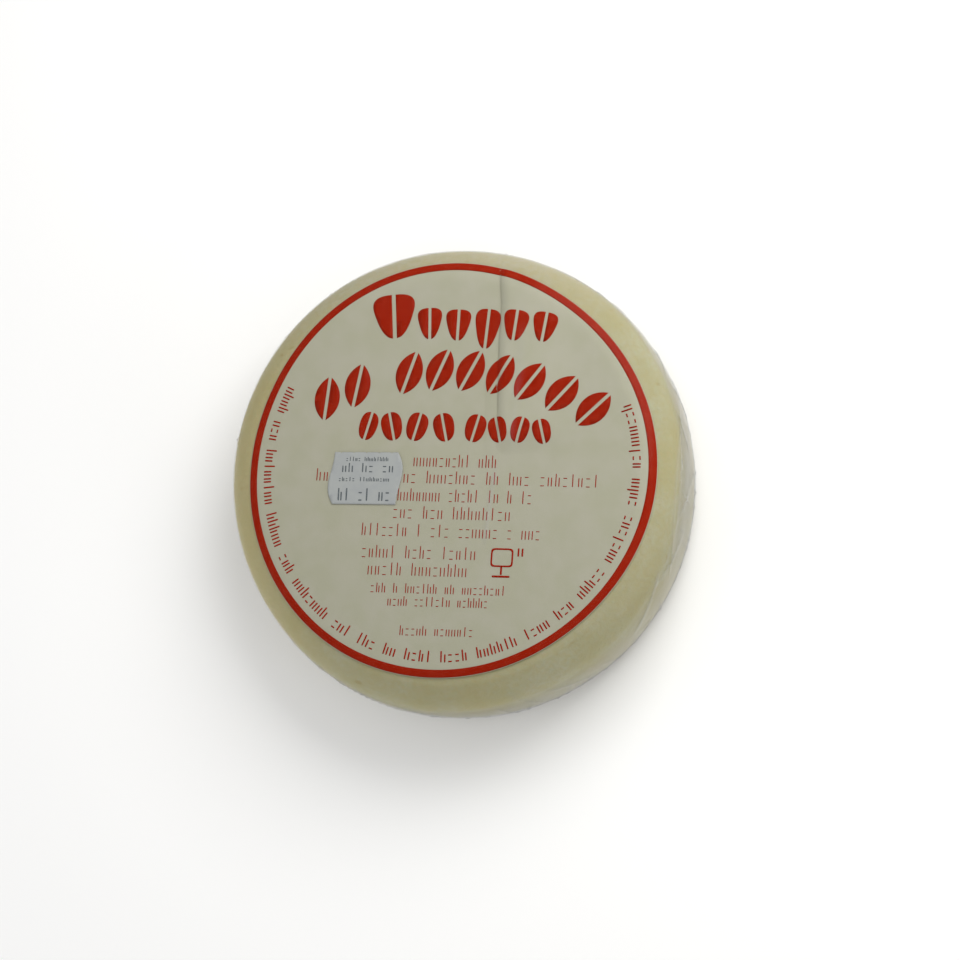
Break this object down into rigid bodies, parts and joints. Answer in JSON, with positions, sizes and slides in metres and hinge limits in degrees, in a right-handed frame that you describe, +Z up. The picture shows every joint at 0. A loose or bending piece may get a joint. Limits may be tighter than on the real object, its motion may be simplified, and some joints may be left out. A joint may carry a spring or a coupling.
{
  "type": "film-wrapped round corn cake pack",
  "caption": "Flat round pack of pressed corn cakes in tight clear film, with a round paper label on its top face and a small date sticker.",
  "frame": {"origin": "centre of the flat underside that the pack lies on", "axes": "+Z up out of the labelled top face, +Y towards the top of the label, +X to the right of the label"},
  "size_m": [0.1402, 0.1411, 0.0384],
  "materials": {
    "wrapped_corn_cake": "cream corn dough seen through tight clear glossy film",
    "label_paper": "off-white paper printed in one red, glossy under film",
    "sticker_paper": "cool white matt thermal paper with grey printing",
    "clear_film": "clear glossy film, slightly milky, with fine creases",
    "label_ink": "brick red printing ink",
    "sticker_ink": "grey printing"
  },
  "bodies": {
    "root": {"pack": "wrapped_corn_cake", "label": "label_paper", "date_sticker": "sticker_paper"}
  },
  "joints": []
}
